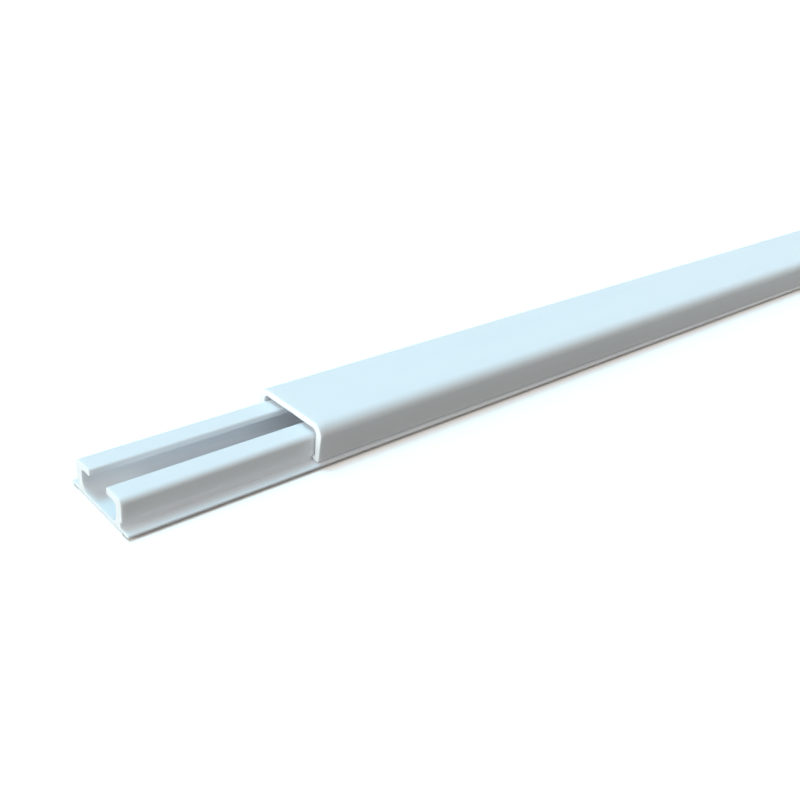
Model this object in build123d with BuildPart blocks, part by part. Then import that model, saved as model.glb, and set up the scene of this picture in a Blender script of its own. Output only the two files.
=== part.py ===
from build123d import *
import os

os.makedirs("parts", exist_ok=True)

# Stick-on cord cover raceway: an extruded base channel with a clip-on cover, drawn in millimetres.
# X runs along the stock, Y across it and Z up. The origin is the middle of the underside of the
# release liner, under the middle of the base channel.

# Length, and how far the cover is slid back from the near end of the base
stock_length = 400.0
cover_offset = 42.0

# Release liner and adhesive tape under the base
liner_thickness = 0.1
tape_thickness = 0.3
tape_margin = 2.2

# Base channel
plate_width = 22.0
plate_thickness = 0.7
plate_edge_radius = 0.25
flange_width = 2.3
base_height = 6.85
base_wall = 2.1
base_shoulder_radius = 1.2
lip_thickness = 1.5
lip_tip_radius = 0.4
cord_slot_width = 6.6
groove_height = 1.3
groove_depth = 0.6
groove_root_radius = 0.2

# Shares of the channel's clear height that the two inner corners of each wall are rounded by
floor_corner_share = 0.45
lip_root_share = 0.2

# Cover
cover_inset = 0.15
cover_top_thickness = 1.35
cover_wall = 1.85
cover_corner_radius = 2.6
wall_lean = 0.65
foot_thickness = 1.25
foot_radius = 0.45
barb_lead = 0.35
barb_tip_radius = 0.15

# Clearances between the cover and the base
seat_gap = 0.15
barb_gap = 0.15
lid_gap = 1.1

# Heights above the surface that the raceway lies on
plate_bottom = liner_thickness + tape_thickness
plate_top = plate_bottom + plate_thickness
base_top = plate_bottom + base_height
lip_bottom = base_top - lip_thickness
rib_bottom = plate_top + groove_height
cover_bottom = plate_top + seat_gap
cover_ceiling = base_top + lid_gap
cover_top = cover_ceiling + cover_top_thickness
barb_top = rib_bottom - barb_gap
barb_bottom = cover_bottom + barb_lead

# Inner corners of the channel
channel_height = lip_bottom - plate_top
floor_corner_radius = floor_corner_share * channel_height
lip_root_radius = lip_root_share * channel_height

# Inner corners of the cover
cover_inner_radius = cover_corner_radius - cover_top_thickness

# Half widths, measured from the middle of the section
plate_half = plate_width / 2
tape_width = plate_width - 2 * tape_margin
wall_outer = plate_half - flange_width
wall_inner = wall_outer - base_wall
groove_floor = wall_outer - groove_depth
slot_half = cord_slot_width / 2
cover_half = plate_half - cover_inset
cover_foot = cover_half - wall_lean
cover_inside = cover_half - cover_wall
foot_inside = cover_foot - foot_thickness
barb_tip = groove_floor + barb_gap

near_end = Plane.YZ.offset(-stock_length / 2)
cover_near_end = near_end.offset(cover_offset)


def corner(section, y, z):
    """The corner of a section that lies at a distance y from its middle and a height z."""
    return section.vertices().sort_by_distance((y, z))[0]


# Base channel: one extrusion, a thin plate with two walls whose lips turn in over the cords.
# Each wall is undercut at its foot, so that a rib stands out above the groove that the cover snaps into.
with BuildPart() as base_channel:
    with BuildSketch(near_end) as base_section:
        with BuildLine():
            Polyline(
                (0, plate_bottom),
                (plate_half, plate_bottom),
                (plate_half, plate_top),
                (groove_floor, plate_top),
                (groove_floor, rib_bottom),
                (wall_outer, rib_bottom),
                (wall_outer, base_top),
                (slot_half, base_top),
                (slot_half, lip_bottom),
                (wall_inner, lip_bottom),
                (wall_inner, plate_top),
                (0, plate_top),
                close=True,
            )
        make_face()
        plate_edge = [corner(base_section, plate_half, z) for z in (plate_bottom, plate_top)]
        fillet(plate_edge, plate_edge_radius)
        fillet(corner(base_section, groove_floor, plate_top), groove_root_radius)
        fillet(corner(base_section, groove_floor, rib_bottom), groove_root_radius)
        fillet(corner(base_section, wall_outer, base_top), base_shoulder_radius)
        lip_tip = [corner(base_section, slot_half, z) for z in (base_top, lip_bottom)]
        fillet(lip_tip, lip_tip_radius)
        fillet(corner(base_section, wall_inner, lip_bottom), lip_root_radius)
        fillet(corner(base_section, wall_inner, plate_top), floor_corner_radius)
        mirror(about=Plane.YZ)
    extrude(amount=stock_length)

base_channel.part.label = "base_channel"
export_step(base_channel.part, "parts/base_channel.step")

# Cover: one extrusion, an inverted U with rounded corners. Its walls lean in and thin a little towards
# the foot, where a barb on the inner face hooks under the rib of the base.
with BuildPart() as cover:
    with BuildSketch(cover_near_end) as cover_section:
        with BuildLine():
            Polyline(
                (0, cover_top),
                (cover_half, cover_top),
                (cover_foot, cover_bottom),
                (foot_inside, cover_bottom),
                (barb_tip, barb_bottom),
                (barb_tip, barb_top),
                (foot_inside, barb_top),
                (cover_inside, cover_ceiling),
                (0, cover_ceiling),
                close=True,
            )
        make_face()
        fillet(corner(cover_section, cover_half, cover_top), cover_corner_radius)
        fillet(corner(cover_section, cover_inside, cover_ceiling), cover_inner_radius)
        fillet(corner(cover_section, cover_foot, cover_bottom), foot_radius)
        fillet([corner(cover_section, barb_tip, z) for z in (barb_bottom, barb_top)], barb_tip_radius)
        mirror(about=Plane.YZ)
    extrude(amount=stock_length)

cover.part.label = "cover"
export_step(cover.part, "parts/cover.step")

# Adhesive tape: a thin strip down the middle of the underside of the plate.
with BuildPart() as adhesive_tape:
    with BuildSketch(near_end):
        with Locations((0, liner_thickness)):
            Rectangle(tape_width, tape_thickness, align=(Align.CENTER, Align.MIN))
    extrude(amount=stock_length)

adhesive_tape.part.label = "adhesive_tape"
export_step(adhesive_tape.part, "parts/adhesive_tape.step")

# Release liner: the coated paper that covers the tape until it is peeled off.
with BuildPart() as release_liner:
    with BuildSketch(near_end):
        Rectangle(tape_width, liner_thickness, align=(Align.CENTER, Align.MIN))
    extrude(amount=stock_length)

release_liner.part.label = "release_liner"
export_step(release_liner.part, "parts/release_liner.step")
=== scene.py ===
# %% [markdown]
# A stick-on cord cover raceway is two lengths of white uPVC, each squeezed hot through a steel die: a
# base channel that the cords are pressed into, and a cover that clips over its walls and slides along
# them. A strip of double-sided tape with its release liner runs under the base. Everything below is in
# metres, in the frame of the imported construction: X along the stock, Y across it and Z up.

# %% Load the frame
import math

import bmesh
import bpy
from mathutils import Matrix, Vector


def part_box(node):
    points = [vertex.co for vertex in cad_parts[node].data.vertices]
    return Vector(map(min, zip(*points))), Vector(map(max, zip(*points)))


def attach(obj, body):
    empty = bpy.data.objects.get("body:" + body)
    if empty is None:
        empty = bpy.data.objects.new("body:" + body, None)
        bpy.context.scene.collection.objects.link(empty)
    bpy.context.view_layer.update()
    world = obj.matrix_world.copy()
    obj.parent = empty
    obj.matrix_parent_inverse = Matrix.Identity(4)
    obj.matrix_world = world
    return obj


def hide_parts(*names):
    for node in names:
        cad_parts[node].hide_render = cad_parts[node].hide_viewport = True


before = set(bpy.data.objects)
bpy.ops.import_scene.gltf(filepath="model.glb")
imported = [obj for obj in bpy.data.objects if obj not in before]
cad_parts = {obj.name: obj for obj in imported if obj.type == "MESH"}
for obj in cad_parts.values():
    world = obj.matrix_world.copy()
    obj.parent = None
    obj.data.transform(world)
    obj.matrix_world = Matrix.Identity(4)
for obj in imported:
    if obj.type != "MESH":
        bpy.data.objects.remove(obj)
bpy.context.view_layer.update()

mm = 0.001
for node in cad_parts:
    low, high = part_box(node)
    print(node, [round(side / mm, 2) for side in high - low], "mm")

# %% [markdown]
# An extrusion keeps one outline from end to end. So each length is made the way its die is drawn: half
# of the section is laid out as a flat face at the near end, edge by edge, then mirrored, its corners
# are rounded, and the whole face is pulled out along X. Grooves cut out of a block with booleans would
# give the same shape, but with broken faces at every rounded corner.

# %% Work on one piece, and pick its corners, edges or faces by their place
close = 0.01 * mm


def choose(piece):
    """Makes a piece the active one, and the only one selected."""
    bpy.ops.object.select_all(action="DESELECT")
    bpy.context.view_layer.objects.active = piece
    piece.select_set(True)


def open_mesh(piece):
    """Opens one piece alone in edit mode, with nothing selected."""
    choose(piece)
    bpy.ops.object.mode_set(mode="EDIT")
    bpy.ops.mesh.select_all(action="DESELECT")


def pick(piece, kind, wanted):
    """Selects the corners, edges or faces whose middle passes a test, and counts them."""
    bpy.ops.mesh.select_mode(type=kind)
    bpy.ops.mesh.select_all(action="DESELECT")
    form = bmesh.from_edit_mesh(piece.data)
    found = 0
    for item in {"VERT": form.verts, "EDGE": form.edges, "FACE": form.faces}[kind]:
        corners = [item] if kind == "VERT" else list(item.verts)
        middle = corners[0].co.copy()
        for corner in corners[1:]:
            middle += corner.co
        if wanted(middle / len(corners)):
            item.select_set(True)
            found += 1
    form.select_flush_mode()
    bmesh.update_edit_mesh(piece.data)
    return found


def at(*places):
    """A test for lying at one of some (y, z) places in millimetres."""
    return lambda spot: any(abs(spot.y - y * mm) < close and abs(spot.z - z * mm) < close for y, z in places)


# %% [markdown]
# The section is drawn from one small flat face. Cuts across it mark where a wall stands, and each pull
# extrudes one edge by the next length on the drawing, as a hand modeller does with the E key. Only one
# half is drawn, because the die is the same on both sides. Corners are rounded last, one radius at a
# time, since a sharp corner needs its rounding to start further back than a blunt one does. A bevel
# profile of 0.5 makes each rounding a circular arc.

# %% Draw a section
flat_limit = math.radians(0.05)
round_profile = 0.5


def first_face(name, x, low, high):
    """A flat face across the stock, between two (y, z) corners in millimetres."""
    bpy.ops.mesh.primitive_plane_add(
        size=1,
        location=(x, (low[0] + high[0]) / 2 * mm, (low[1] + high[1]) / 2 * mm),
        rotation=(0, math.pi / 2, 0),
    )
    piece = bpy.context.active_object
    piece.name = name
    piece.scale = ((high[1] - low[1]) * mm, (high[0] - low[0]) * mm, 1)
    bpy.ops.object.transform_apply(location=True, rotation=True, scale=True)
    open_mesh(piece)
    return piece


def split(y):
    """Cuts the open face lengthwise at a distance y from the middle."""
    bpy.ops.mesh.select_all(action="SELECT")
    bpy.ops.mesh.bisect(plane_co=(0, y * mm, 0), plane_no=(0, 1, 0))


def pull(piece, places, move):
    """Extrudes the edges whose middles lie at the places by a (y, z) move."""
    assert pick(piece, "EDGE", at(*places)) == len(places), places
    bpy.ops.mesh.extrude_region_move(TRANSFORM_OT_translate={"value": (0, move[0] * mm, move[1] * mm)})


def shift(piece, place, target):
    """Moves the corner at one (y, z) place to another."""
    assert pick(piece, "VERT", at(place)) == 1, place
    bpy.ops.transform.translate(value=(0, (target[0] - place[0]) * mm, (target[1] - place[1]) * mm))


def mirror_section(piece):
    """Adds the other half and melts all the faces into one."""
    bpy.ops.object.mode_set(mode="OBJECT")
    bpy.ops.object.modifier_add(type="MIRROR")
    both = piece.modifiers[-1]
    both.use_axis = (False, True, False)
    both.merge_threshold = close
    bpy.ops.object.modifier_apply(modifier=both.name)
    open_mesh(piece)
    bpy.ops.mesh.select_all(action="SELECT")
    bpy.ops.mesh.remove_doubles(threshold=close)
    bpy.ops.mesh.dissolve_limited(angle_limit=flat_limit)


def round_corner(piece, place, radius, steps):
    """Rounds the corner at (y, z), and its twin on the other side, to a radius in millimetres."""
    assert pick(piece, "VERT", at(place, (-place[0], place[1]))) == 2, place
    form = bmesh.from_edit_mesh(piece.data)
    tip = next(corner for corner in form.verts if corner.select)
    arms = [edge.other_vert(tip).co - tip.co for edge in tip.link_edges]
    reach = radius * mm / math.tan(arms[0].angle(arms[1]) / 2)
    bpy.ops.mesh.bevel(
        offset_type="ABSOLUTE", offset=reach, segments=steps, profile=round_profile, affect="VERTICES"
    )


# %% [markdown]
# A length of stock is sawn off square, so its ends are flat, with a very small soft edge where the burr
# has been wiped off. The rounded corners are shaded smooth and the flat faces keep their own normals.
# Without weighted normals the light would creep from the roundings across the flats.

# %% Pull the section out into stock
near_x, far_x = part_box("base_channel")[0].x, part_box("base_channel")[1].x
stock_length = far_x - near_x
burr_width, burr_steps = 0.07 * mm, 2
smooth_limit = math.radians(25)


def pull_out(piece, length):
    """Extrudes a finished section along X and softens the edges of its two sawn ends."""
    start = piece.data.vertices[0].co.x
    pick(piece, "FACE", lambda spot: True)
    bpy.ops.mesh.extrude_region_move(TRANSFORM_OT_translate={"value": (length, 0, 0)})
    bpy.ops.mesh.select_all(action="SELECT")
    bpy.ops.mesh.normals_make_consistent(inside=False)
    pick(piece, "EDGE", lambda spot: min(abs(spot.x - start), abs(spot.x - start - length)) < close)
    bpy.ops.mesh.bevel(offset=burr_width, segments=burr_steps, profile=round_profile, affect="EDGES")
    bpy.ops.object.mode_set(mode="OBJECT")


def measure(piece):
    """The lowest and highest corner of a piece, in millimetres."""
    spots = [corner.co / mm for corner in piece.data.vertices]
    return [[round(side(spot[axis] for spot in spots), 2) for axis in range(3)] for side in (min, max)]


def finish_shape(piece):
    """Shades the roundings smooth and keeps the flats true."""
    choose(piece)
    bpy.ops.object.shade_smooth_by_angle(angle=smooth_limit)
    bpy.ops.object.modifier_add(type="WEIGHTED_NORMAL")
    piece.modifiers[-1].keep_sharp = True
    bpy.ops.object.modifier_apply(modifier=piece.modifiers[-1].name)
    low, high = measure(piece)
    print(piece.name, len(piece.data.polygons), "faces, from", low, "to", high, "mm")


# %% [markdown]
# The base channel is a thin plate with two walls. Each wall turns in at the top as a lip, so that cords
# stay in once they are pressed through the slot, and each is undercut at its foot, where the cover's
# barb hooks in. The plate stands out past the walls on both sides, and the cover's feet slide along it.

# %% Base channel
plate_edge, plate_low, plate_high = 11.0, 0.4, 1.1
wall_in, wall_out, groove_deep = 6.6, 8.7, 8.1
rib_low, lip_low, base_high, lip_tip = 2.4, 5.75, 7.25, 3.3

base = first_face("base_extrusion", near_x, (0, plate_low), (plate_edge, plate_high))
for y in (wall_in, groove_deep):
    split(y)
stem = (wall_in + groove_deep) / 2
pull(base, [(stem, plate_high)], (0, rib_low - plate_high))
pull(base, [(stem, rib_low)], (0, lip_low - rib_low))
pull(base, [(groove_deep, (rib_low + lip_low) / 2)], (wall_out - groove_deep, 0))
pull(base, [(stem, lip_low), ((groove_deep + wall_out) / 2, lip_low)], (0, base_high - lip_low))
pull(base, [(wall_in, (lip_low + base_high) / 2)], (lip_tip - wall_in, 0))
mirror_section(base)
print("base section:", len(base.data.vertices), "corners before rounding")

# %% [markdown]
# A die has no knife edges: they would wear, and tear the plastic. The lips have round tips, so that the
# cords aren't scratched, and the inner corners are filled out deeply, which makes the thin walls stiff.
# Rounding the flat section costs far fewer faces than rounding the finished solid's long edges.

# %% Round the base's corners and pull it out
# The columns are the corner's place, its radius and the steps in its arc.
clear_height = lip_low - plate_high
base_roundings = [
    ((plate_edge, plate_low), 0.25, 4),
    ((plate_edge, plate_high), 0.25, 4),
    ((groove_deep, plate_high), 0.2, 4),
    ((groove_deep, rib_low), 0.2, 4),
    ((wall_out, rib_low), 0.12, 3),
    ((wall_out, base_high), 1.2, 10),
    ((lip_tip, base_high), 0.4, 6),
    ((lip_tip, lip_low), 0.4, 6),
    ((wall_in, lip_low), 0.2 * clear_height, 8),
    ((wall_in, plate_high), 0.45 * clear_height, 12),
]
for place, radius, steps in base_roundings:
    round_corner(base, place, radius, steps)
pull_out(base, stock_length)
finish_shape(base)

# %% [markdown]
# The cover is an upside-down U. Its walls lean in and thin out a little towards the foot, so that they
# grip the base, and each foot has a barb on the inside: sloped below, to ride over the base's rib, and
# square above, to stay hooked under it. In the photograph it is slid back, so it starts further along.

# %% Cover
cover_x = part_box("cover")[0].x
side_top, side_foot, cover_low, cover_high = 10.85, 10.2, 1.25, 9.7
ceiling, inside_top, inside_foot = 8.35, 9.0, 8.95
barb_tip, barb_low, barb_high = 8.25, 1.6, 2.25


def side_at(z):
    """How far out the cover's leaning outer face is at a height z."""
    return side_top - (side_top - side_foot) * (cover_high - z) / (cover_high - cover_low)


cover = first_face("cover_extrusion", cover_x, (0, ceiling), (side_top, cover_high))
split(inside_top)
wall_middle = (inside_top + side_top) / 2
pull(cover, [(wall_middle, ceiling)], (0, barb_high - ceiling))
pull(cover, [(wall_middle, barb_high)], (0, cover_low - barb_high))
pull(cover, [(inside_top, (barb_high + cover_low) / 2)], (barb_tip - inside_top, 0))
for z in (ceiling, barb_high, cover_low):
    shift(cover, (side_top, z), (side_at(z), z))
for z in (barb_high, cover_low):
    shift(cover, (inside_top, z), (inside_foot, z))
shift(cover, (barb_tip, cover_low), (barb_tip, barb_low))
mirror_section(cover)
print("cover section:", len(cover.data.vertices), "corners before rounding")

# %% [markdown]
# The cover is what people see on the wall, so its two long top edges are rounded generously. The feet
# and the barbs are rounded just enough to slide over the base without catching.

# %% Round the cover's corners and pull it out
cover_roundings = [
    ((side_top, cover_high), 2.6, 16),
    ((inside_top, ceiling), 1.25, 8),
    ((side_foot, cover_low), 0.45, 6),
    ((inside_foot, cover_low), 0.1, 3),
    ((barb_tip, barb_low), 0.15, 4),
    ((barb_tip, barb_high), 0.15, 4),
]
for place, radius, steps in cover_roundings:
    round_corner(cover, place, radius, steps)
pull_out(cover, stock_length)
finish_shape(cover)

# %% [markdown]
# The tape is a strip of soft adhesive foil that is rolled on down the middle of the underside, and the
# liner is coated paper over it. Both are thin and cut off with the stock. A box primitive at each one's
# size gets its edges softened: the tape's sides bulge a little where it is pressed, and the paper's
# edges are slit nearly sharp.

# %% Tape and liner
def strip(name, node, softness, steps):
    """A thin strip that fills its node's box, with its long edges rounded by a share of its thickness."""
    low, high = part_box(node)
    bpy.ops.mesh.primitive_cube_add(size=1, location=(low + high) / 2)
    piece = bpy.context.active_object
    piece.name = name
    piece.scale = high - low
    bpy.ops.object.transform_apply(location=True, rotation=True, scale=True)
    open_mesh(piece)
    middle = (low.x + high.x) / 2
    pick(piece, "EDGE", lambda spot: abs(spot.x - middle) < close)
    radius = (high.z - low.z) * softness
    bpy.ops.mesh.bevel(offset=radius, segments=steps, profile=round_profile, affect="EDGES")
    bpy.ops.object.mode_set(mode="OBJECT")
    finish_shape(piece)
    return piece


tape = strip("tape_strip", "adhesive_tape", softness=0.45, steps=4)
liner = strip("liner_strip", "release_liner", softness=0.2, steps=2)

# %% [markdown]
# A material is a tree of small nodes: one says where a point is, one makes a pattern there, one brings
# the pattern to the numbers that the shader wants. Four helpers are enough to wire them up. Patterns are
# read in Object coordinates, and each noise is told how long its grains are along X, Y and Z, because
# everything on an extrusion is drawn out along its length.

# %% Wire up materials
def add(tree, kind, label, **settings):
    """A new node with its label and settings."""
    node = tree.nodes.new(kind)
    node.label = label
    for key, value in settings.items():
        setattr(node, key, value)
    return node


def feed(target, value):
    """Links a node's output to an input, or sets the input to a plain value."""
    if isinstance(value, bpy.types.NodeSocket):
        target.id_data.links.new(value, target)
    else:
        target.default_value = value


def new_finish(name):
    """A new material, its shader, and the node that says where each point of the piece is."""
    material = bpy.data.materials.new(name)
    material.use_nodes = True
    place = add(material.node_tree, "ShaderNodeTexCoord", "place")
    return material, material.node_tree.nodes["Principled BSDF"], place


def span(source, label, low, high, from_low=0.3, from_high=0.7):
    """Brings a value from one span to another. Noise is mostly between 0.3 and 0.7."""
    node = add(source.id_data, "ShaderNodeMapRange", label)
    feed(node.inputs["Value"], source)
    ends = {"From Min": from_low, "From Max": from_high, "To Min": low, "To Max": high}
    for key, value in ends.items():
        feed(node.inputs[key], value)
    return node.outputs["Result"]


# %% [markdown]
# More helpers that most finishes need: noise with long grains, a blend from one colour or number to
# another, one step of arithmetic, the way that a face looks, and fine relief.

# %% Noise, blends, sums and relief
def noise(place, label, grain, detail):
    """Noise whose grains have a length along X, Y and Z in millimetres."""
    stretch = add(place.id_data, "ShaderNodeMapping", label + " stretch")
    feed(stretch.inputs["Vector"], place.outputs["Object"])
    feed(stretch.inputs["Scale"], [1 / (length * mm) for length in grain])
    texture = add(place.id_data, "ShaderNodeTexNoise", label)
    for key, value in (("Vector", stretch.outputs["Vector"]), ("Scale", 1), ("Detail", detail)):
        feed(texture.inputs[key], value)
    return texture.outputs["Fac"]


def blend(factor, label, first, second, kind="RGBA"):
    """Turns from one colour, or one number, to another as a factor goes from 0 to 1."""
    node = add(factor.id_data, "ShaderNodeMix", label, data_type=kind)
    for key, value in (("Factor", factor), ("A", first), ("B", second)):
        feed(node.inputs[key], value)
    return node.outputs["Result"]


def maths(operation, label, first, second=0.0):
    """One step of arithmetic on a node's output."""
    node = add(first.id_data, "ShaderNodeMath", label, operation=operation)
    feed(node.inputs[0], first)
    feed(node.inputs[1], second)
    return node.outputs["Value"]


def facing(place, axis):
    """How far a face looks along an axis, from -1 to 1."""
    parts = add(place.id_data, "ShaderNodeSeparateXYZ", "facing " + axis)
    feed(parts.inputs["Vector"], place.outputs["Normal"])
    return parts.outputs[axis]


def relief(shader, label, height, strength, depth):
    """Gives a shader fine bumps from a pattern, with their depth in millimetres."""
    bump = add(shader.id_data, "ShaderNodeBump", label)
    for key, value in (("Height", height), ("Strength", strength), ("Distance", depth * mm)):
        feed(bump.inputs[key], value)
    feed(shader.inputs["Normal"], bump.outputs["Normal"])


# %% [markdown]
# White uPVC gets its white from a fine pigment, and it is never quite even: the tone drifts by a few
# percent over some centimetres. It is also a little translucent, so light softens at thin lips and
# corners. A short subsurface depth does that, and no plain colour does. Its sockets hold one value each,
# so they are set on the shader itself.

# %% White uPVC: tone and depth
upvc, shader, place = new_finish("white_upvc")
cloud_grain = (56, 11, 11)
cool_white, warm_white = (0.90, 0.905, 0.94, 1), (0.925, 0.925, 0.955, 1)
clouds = span(noise(place, "clouds", cloud_grain, detail=3), "cloud span", 0, 1)
feed(shader.inputs["Base Color"], blend(clouds, "tone", cool_white, warm_white))
upvc_depth = 0.6 * mm
shader.inputs["IOR"].default_value = 1.53
shader.inputs["Subsurface Weight"].default_value = 1.0
shader.inputs["Subsurface Radius"].default_value = (1, 1, 1)
shader.inputs["Subsurface Scale"].default_value = upvc_depth
print("tone drifts over", cloud_grain, "mm, light reaches", upvc_depth / mm, "mm deep")

# %% [markdown]
# The die leaves a satin skin whose sheen changes from streak to streak along the stock. The saw leaves
# dull ends. One material serves both, because it can ask each face where it looks: only a sawn end looks
# along X.

# %% White uPVC: sheen
sawn = span(maths("ABSOLUTE", "end on", facing(place, "X")), "sawn", 0, 1, from_low=0.8, from_high=0.95)
streak_grain, satin_roughness, sawn_roughness = (160, 1.4, 1.4), (0.42, 0.52), 0.7
streaks = span(noise(place, "streaks", streak_grain, detail=4), "streak sheen", *satin_roughness)
feed(shader.inputs["Roughness"], blend(sawn, "sheen", streaks, sawn_roughness, "FLOAT"))
print("roughness", satin_roughness, "along the skin and", sawn_roughness, "on the ends")

# %% [markdown]
# Under a lens the skin shows hair-fine die lines along the whole length, and the ends show the marks of
# the saw's teeth across them. Both are only hundredths of a millimetre deep, so they are bump and not
# mesh.

# %% White uPVC: die lines and saw marks
die_grain, tooth_grain = (330, 0.67, 0.67), (10, 2.9, 0.19)
die_lines = noise(place, "die lines", die_grain, detail=5)
saw_marks = noise(place, "saw marks", tooth_grain, detail=4)
marks = blend(sawn, "marks", die_lines, saw_marks, "FLOAT")
relief(shader, "fine relief", marks, strength=0.35, depth=0.02)
print(upvc.name, len(upvc.node_tree.nodes), "nodes")

# %% [markdown]
# The tape is seen only as a thin line at the ends and along the edges of the underside. It is pale and
# tacky, with fine specks of dust in the adhesive, and some spots shine more than others.

# %% Tape
tape_finish, shader, place = new_finish("tacky_tape")
clean_adhesive, dusty_adhesive = (0.82, 0.86, 0.87, 1), (0.55, 0.60, 0.63, 1)
speck_grain, tack_grain, tack_roughness = (0.56, 0.56, 0.56), (4.5, 1.1, 1.1), (0.35, 0.6)
speck_noise = noise(place, "specks", speck_grain, detail=2)
specks = span(speck_noise, "speck span", 0, 1, from_low=0.62, from_high=0.72)
feed(shader.inputs["Base Color"], blend(specks, "tint", clean_adhesive, dusty_adhesive))
tack = span(noise(place, "tack", tack_grain, detail=3), "tack span", *tack_roughness)
feed(shader.inputs["Roughness"], tack)
print(tape_finish.name, len(tape_finish.node_tree.nodes), "nodes")

# %% [markdown]
# Liners of this kind are pale and printed in grey-blue from edge to edge. The print here is a plain one,
# rows of lozenges and dots. A grid is laid over the underside, and each cell asks how far a point is
# from its middle. Adding the distances along X and Y gives a lozenge, and adding their squares gives an
# oval dot.

# %% Liner: the print
liner_finish, shader, place = new_finish("printed_liner")
print_cell = (19, 8.8)


def grid_distance(label, offset, power):
    """How far a point is from the middle of its cell, in shares of the cell raised to a power."""
    grid = add(place.id_data, "ShaderNodeMapping", label + " grid")
    feed(grid.inputs["Vector"], place.outputs["Object"])
    feed(grid.inputs["Scale"], (1 / (print_cell[0] * mm), 1 / (print_cell[1] * mm), 1))
    feed(grid.inputs["Location"], (offset, offset, 0))
    parts = add(place.id_data, "ShaderNodeSeparateXYZ", label + " parts")
    feed(parts.inputs["Vector"], grid.outputs["Vector"])
    along, across = [
        maths("POWER", label + " power", maths("PINGPONG", label + " wave", parts.outputs[axis], 0.5), power)
        for axis in ("X", "Y")
    ]
    return maths("ADD", label + " distance", along, across)


def printed(label, distance, limit, soft):
    """1 where a distance is under a limit, with a soft inked edge."""
    return span(distance, label, 1, 0, limit - soft, limit + soft)


lozenges = printed("lozenges", grid_distance("lozenge", offset=0, power=1), limit=0.3, soft=0.012)
dots = printed("dots", grid_distance("dot", offset=0.5, power=2), limit=0.012, soft=0.0015)
under = span(facing(place, "Z"), "under", 1, 0, from_low=-0.9, from_high=-0.7)
inked = maths("MULTIPLY", "inked", maths("MAXIMUM", "print", lozenges, dots), under)
print("a lozenge and a dot every", print_cell, "mm along and across")

# %% [markdown]
# The paper is coated so that the tape lets go of it. It has a dull sheen and a faint fibre grain that
# still shows through the ink, so the grain drives both the roughness and the bump.

# %% Liner: paper and ink
paper_colour, ink_colour = (0.86, 0.92, 0.935, 1), (0.61, 0.635, 0.665, 1)
feed(shader.inputs["Base Color"], blend(inked, "paper", paper_colour, ink_colour))
fibre_grain, paper_roughness = (1.1, 0.42, 0.42), (0.38, 0.52)
fibres = noise(place, "fibres", fibre_grain, detail=5)
feed(shader.inputs["Roughness"], span(fibres, "fibre sheen", *paper_roughness))
relief(shader, "paper relief", fibres, strength=0.3, depth=0.01)
print(liner_finish.name, len(liner_finish.node_tree.nodes), "nodes")

# %% [markdown]
# Each finished length takes the place of its plain solid. It rides on the body that carries it, so the
# cover slides and the tape and liner stay with the base.

# %% Dress the pieces and stand them in for their nodes
dressing = [
    (base, "base_channel", "base", "upvc", upvc),
    (cover, "cover", "cover", "upvc", upvc),
    (tape, "adhesive_tape", "base", "tape", tape_finish),
    (liner, "release_liner", "base", "liner", liner_finish),
]
for piece, node, body, slot, finish in dressing:
    piece.data.materials.append(finish)
    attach(piece, body)
    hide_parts(node)
    print(piece.name, "stands for", node)

# %% [markdown]
# The photograph has a pure white ground under a soft shadow. The floor and the sky look white to the
# camera, and to what it sees by way of gloss or glass. To all other light they are darker, so that they
# don't wash out the side of the stock that lies in shade.

# %% Tell seen rays from light
def seen_rays(tree):
    """1 for what the camera sees, also by way of gloss or glass, and 0 for light on its way."""
    rays = add(tree, "ShaderNodeLightPath", "rays").outputs
    gloss_too = maths("MAXIMUM", "camera or gloss", rays["Is Camera Ray"], rays["Is Glossy Ray"])
    return maths("MAXIMUM", "or glass", gloss_too, rays["Is Transmission Ray"])


# %% [markdown]
# A white floor in modest light renders grey. Two diffuse coats on top of each other return more light
# than one can, so the open floor reaches white while the shadow keeps its true share of darkness. A
# glowing floor would fill the shadow in.

# %% Floor
floor_side = 8
bpy.ops.mesh.primitive_plane_add(size=floor_side, location=(0, 0, 0))
floor = bpy.context.active_object
floor.name = "floor"
white_floor, shader, place = new_finish("white_floor")
tree = white_floor.node_tree
seen = seen_rays(tree)
both_coats = add(tree, "ShaderNodeAddShader", "both coats")
coats = [
    ("ground coat", (0.09, 0.07, 0.06, 1), (0.98, 0.98, 0.98, 1)),
    ("white coat", (0, 0, 0, 1), (0.46, 0.34, 0.28, 1)),
]
for index, (label, unseen_colour, seen_colour) in enumerate(coats):
    coat = add(tree, "ShaderNodeBsdfDiffuse", label)
    feed(coat.inputs["Color"], blend(seen, label + " shade", unseen_colour, seen_colour))
    feed(both_coats.inputs[index], coat.outputs["BSDF"])
feed(tree.nodes["Material Output"].inputs["Surface"], both_coats.outputs["Shader"])
for unused in (shader, place):
    tree.nodes.remove(unused)
floor.data.materials.append(white_floor)
print(white_floor.name, len(tree.nodes), "nodes,", floor_side, "m wide")

# %% [markdown]
# An even sky gives the shaded side its grey, which is nearly neutral. A wall sees only half of the sky,
# so it stays much darker than the top, which gets all of it and the lamps too.

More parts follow.
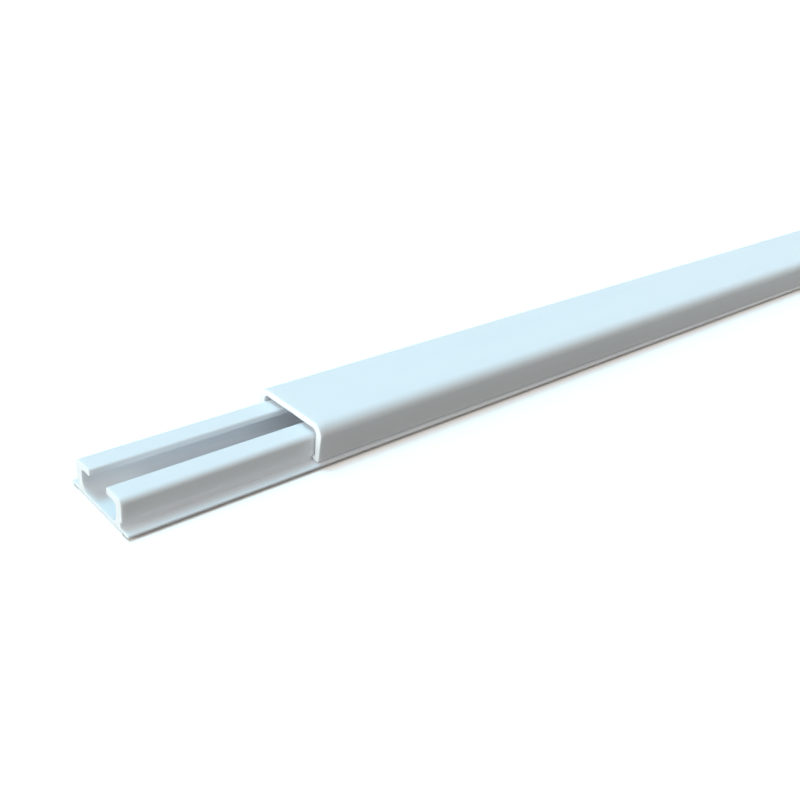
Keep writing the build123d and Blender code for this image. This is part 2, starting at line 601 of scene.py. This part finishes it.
# %% World
bpy.context.scene.view_settings.view_transform = "Standard"
world = bpy.data.worlds.new("studio")
bpy.context.scene.world = world
world.use_nodes = True
sky = world.node_tree.nodes["Background"]
seen = seen_rays(world.node_tree)
sky_strength, sky_colour = 0.47, (0.93, 0.925, 0.905, 1)
seen_strength, seen_colour = 1, (1, 1, 1, 1)
feed(sky.inputs["Strength"], blend(seen, "strength", sky_strength, seen_strength, "FLOAT"))
feed(sky.inputs["Color"], blend(seen, "tint", sky_colour, seen_colour))
print("sky", sky_strength, "for light,", seen_strength, "as seen")

# %% [markdown]
# Two broad, far lamps do the rest. The cool one stands high and a little behind, so the top is bright
# and the near side isn't. The low one shines along the stock onto its sawn near end, and leaves no
# glare, which would turn the top white for anyone who looks from the far end. A sun lamp with a wide
# angle lights all 400 mm evenly, and an area lamp close by wouldn't.

# %% Lamps
def distant_lamp(name, towards, spread, strength, colour):
    """A soft, far lamp in a direction from the object, with its spread in degrees."""
    bpy.ops.object.light_add(type="SUN", location=towards)
    lamp = bpy.context.active_object
    lamp.name = name
    lamp.rotation_euler = lamp.location.to_track_quat("Z", "Y").to_euler()
    lamp.data.angle = math.radians(spread)
    lamp.data.energy = strength
    lamp.data.color = colour
    print(name, "from", [round(side, 2) for side in lamp.location], "at", strength)
    return lamp


distant_lamp("top_light", (-0.1, 0.3, 0.95), spread=26, strength=1.55, colour=(0.29, 0.73, 0.97))
end_light = distant_lamp("end_light", (-0.97, 0.0, 0.2), spread=30, strength=2.45, colour=(0.91, 1.0, 1.0))
end_light.visible_glossy = False

# %% [markdown]
# The camera stands near the bare end and looks down along the stock, close enough that the far part
# runs out of the picture. Its place was worked out from the edges and corners seen in the photograph.

# %% Camera
camera_place = (-0.2614, -0.13846, 0.10405)
camera_angles = (62.034, -4.955, -41.551)
bpy.ops.object.camera_add(
    location=camera_place, rotation=[math.radians(angle) for angle in camera_angles]
)
camera = bpy.context.active_object
camera.name = "camera"
camera.data.lens = 43.059
camera.data.sensor_width = 36
camera.data.clip_start = 1 * mm
bpy.context.scene.camera = camera
print("camera", round(math.dist(camera_place, (near_x, 0, 0)) / mm), "mm from the near end")
